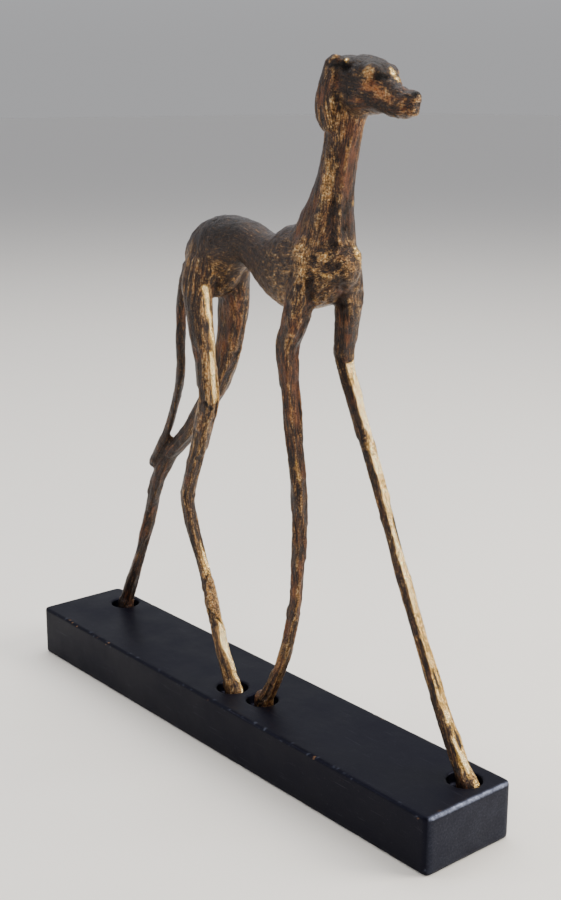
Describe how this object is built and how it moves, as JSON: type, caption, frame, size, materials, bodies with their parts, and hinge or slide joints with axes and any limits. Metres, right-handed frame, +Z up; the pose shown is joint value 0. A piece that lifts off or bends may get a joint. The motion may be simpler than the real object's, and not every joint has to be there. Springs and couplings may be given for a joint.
{
  "type": "greyhound statue",
  "caption": "Slender walking greyhound cast in metal with an antique gold finish, standing on a long narrow black wooden plinth.",
  "frame": {"origin": "middle of the plinth's underside", "axes": "+X the way the greyhound walks, +Y the greyhound's left side, +Z up"},
  "size_m": [0.4, 0.0668, 0.4257],
  "materials": {
    "antique_gold_casting": "dark brown patina in the hollows and on the back, worn to pale gold on the raised planes of the legs",
    "black_painted_wood": "satin black lacquer with rubbed edges"
  },
  "bodies": {
    "root": {"greyhound": "antique_gold_casting", "plinth": "black_painted_wood"}
  },
  "joints": []
}
